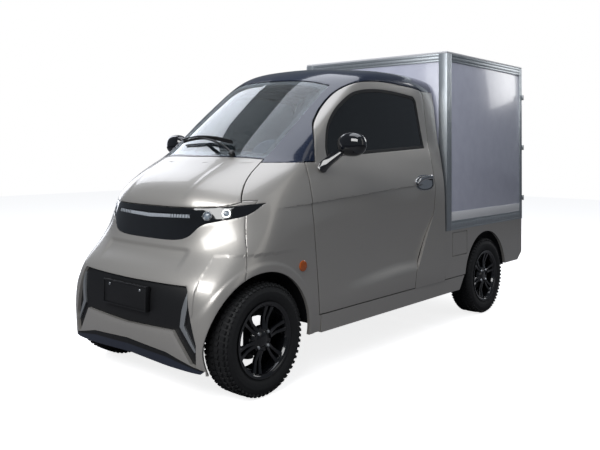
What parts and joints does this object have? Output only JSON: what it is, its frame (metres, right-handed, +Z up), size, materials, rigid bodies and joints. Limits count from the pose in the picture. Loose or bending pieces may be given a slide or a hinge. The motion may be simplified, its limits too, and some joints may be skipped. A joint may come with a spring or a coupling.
{
  "type": "electric mini cargo truck",
  "caption": "Small electric cargo truck with a rounded two-seat cab, a ladder frame and a square closed cargo box with double rear doors.",
  "frame": {"origin": "on the ground under the middle of the whole vehicle", "axes": "+Z up, front of the vehicle towards -Y, its left side at +X"},
  "size_m": [1.656, 3.467, 1.9],
  "materials": {
    "body_paint": "satin",
    "roof_black": "gloss",
    "frame_steel": "satin",
    "cast_metal": "matte",
    "battery_case": "matte",
    "floor_mat": "matte",
    "black_plastic": "matte",
    "lamp_black": "gloss",
    "gloss_black": "gloss",
    "screen_glass": "gloss",
    "dark_glass": "gloss",
    "cabin_plastic": "matte",
    "seat_fabric": "matte",
    "box_aluminium": "satin",
    "box_skin": "satin",
    "box_floor_wood": "matte",
    "tail_lens": "gloss",
    "tyre_rubber": "matte",
    "rim_black": "gloss"
  },
  "bodies": {
    "chassis": {"chassis_frame": "frame_steel", "battery_pack": "battery_case", "front_axle": "frame_steel", "rear_axle": "frame_steel", "rear_springs": "frame_steel", "frame_cross_members": "frame_steel", "box_bearers": "frame_steel", "cab_floor": "floor_mat", "grille_panel": "black_plastic", "bumper_lip": "black_plastic", "light_bar": "lamp_black", "roof_shell": "roof_black", "door_frames": "black_plastic", "windscreen": "screen_glass", "rear_window": "dark_glass", "dashboard": "cabin_plastic", "steering_column": "cabin_plastic", "seats": "seat_fabric", "wheel_liners": "black_plastic", "box_frame": "box_aluminium", "box_panels": "box_skin", "box_roof": "box_skin", "box_floor": "box_floor_wood", "tail_lamps": "tail_lens", "front_bumper": "body_paint", "front_wings": "body_paint", "cab_rear_wall": "body_paint", "side_sills": "body_paint", "rear_skirts": "body_paint", "tail_panel": "body_paint"},
    "wheel_front_left": {"tyre_front_left": "tyre_rubber", "rim_front_left": "rim_black"},
    "wheel_front_right": {"tyre_front_right": "tyre_rubber", "rim_front_right": "rim_black"},
    "wheel_rear_left": {"tyre_rear_left": "tyre_rubber", "rim_rear_left": "rim_black"},
    "wheel_rear_right": {"tyre_rear_right": "tyre_rubber", "rim_rear_right": "rim_black"},
    "knuckle_left": {"knuckle_left": "cast_metal"},
    "knuckle_right": {"knuckle_right": "cast_metal"},
    "cab_door_left": {"cab_door_left": "body_paint", "door_glass_left": "dark_glass", "mirror_left": "gloss_black"},
    "cab_door_right": {"cab_door_right": "body_paint", "door_glass_right": "dark_glass", "mirror_right": "gloss_black"},
    "bonnet": {"bonnet": "body_paint"},
    "box_door_left": {"box_door_left": "box_skin"},
    "box_door_right": {"box_door_right": "box_skin"},
    "charge_flap": {"charge_flap": "body_paint"},
    "steering_wheel": {"steering_wheel": "cabin_plastic"}
  },
  "joints": [
    {"name": "steer_left", "type": "hinge", "parent": "chassis", "child": "knuckle_left", "pos_m": [0.5, -1.3415, 0.28], "axis": [0, 0, 1], "range_deg": [-30, 30]},
    {"name": "steer_right", "type": "hinge", "parent": "chassis", "child": "knuckle_right", "pos_m": [-0.5, -1.3415, 0.28], "axis": [0, 0, 1], "range_deg": [-30, 30]},
    {"name": "wheel_front_left_spin", "type": "hinge", "parent": "knuckle_left", "child": "wheel_front_left", "pos_m": [0.55, -1.3415, 0.28], "axis": [1, 0, 0], "continuous": true},
    {"name": "wheel_front_right_spin", "type": "hinge", "parent": "knuckle_right", "child": "wheel_front_right", "pos_m": [-0.55, -1.3415, 0.28], "axis": [1, 0, 0], "continuous": true},
    {"name": "wheel_rear_left_spin", "type": "hinge", "parent": "chassis", "child": "wheel_rear_left", "pos_m": [0.55, 1.0485, 0.28], "axis": [1, 0, 0], "continuous": true},
    {"name": "wheel_rear_right_spin", "type": "hinge", "parent": "chassis", "child": "wheel_rear_right", "pos_m": [-0.55, 1.0485, 0.28], "axis": [1, 0, 0], "continuous": true},
    {"name": "steering_wheel_turn", "type": "hinge", "parent": "chassis", "child": "steering_wheel", "pos_m": [0.235, -0.6815, 1.085], "axis": [0, 0.8829, 0.4695], "range_deg": [-480, 480]},
    {"name": "cab_door_left_swing", "type": "hinge", "parent": "chassis", "child": "cab_door_left", "pos_m": [0.65, -1.0035, 0.8], "axis": [0, 0, -1], "range_deg": [0, 65]},
    {"name": "cab_door_right_swing", "type": "hinge", "parent": "chassis", "child": "cab_door_right", "pos_m": [-0.65, -1.0035, 0.8], "axis": [0, 0, 1], "range_deg": [0, 65]},
    {"name": "bonnet_lift", "type": "hinge", "parent": "chassis", "child": "bonnet", "pos_m": [0, -1.1415, 1.215], "axis": [-1, 0, 0], "range_deg": [0, 45]},
    {"name": "box_door_left_swing", "type": "hinge", "parent": "chassis", "child": "box_door_left", "pos_m": [0.636, 1.7098, 1.3], "axis": [0, 0, -1], "range_deg": [0, 255]},
    {"name": "box_door_right_swing", "type": "hinge", "parent": "chassis", "child": "box_door_right", "pos_m": [-0.636, 1.7098, 1.3], "axis": [0, 0, 1], "range_deg": [0, 255]},
    {"name": "charge_flap_swing", "type": "hinge", "parent": "chassis", "child": "charge_flap", "pos_m": [0.634, 0.5315, 0.56], "axis": [0, 0, -1], "range_deg": [0, 110]}
  ],
  "couplings": [
    {"joint": "steer_right", "follows": "steer_left", "ratio": 1},
    {"joint": "steering_wheel_turn", "follows": "steer_left", "ratio": 16}
  ]
}
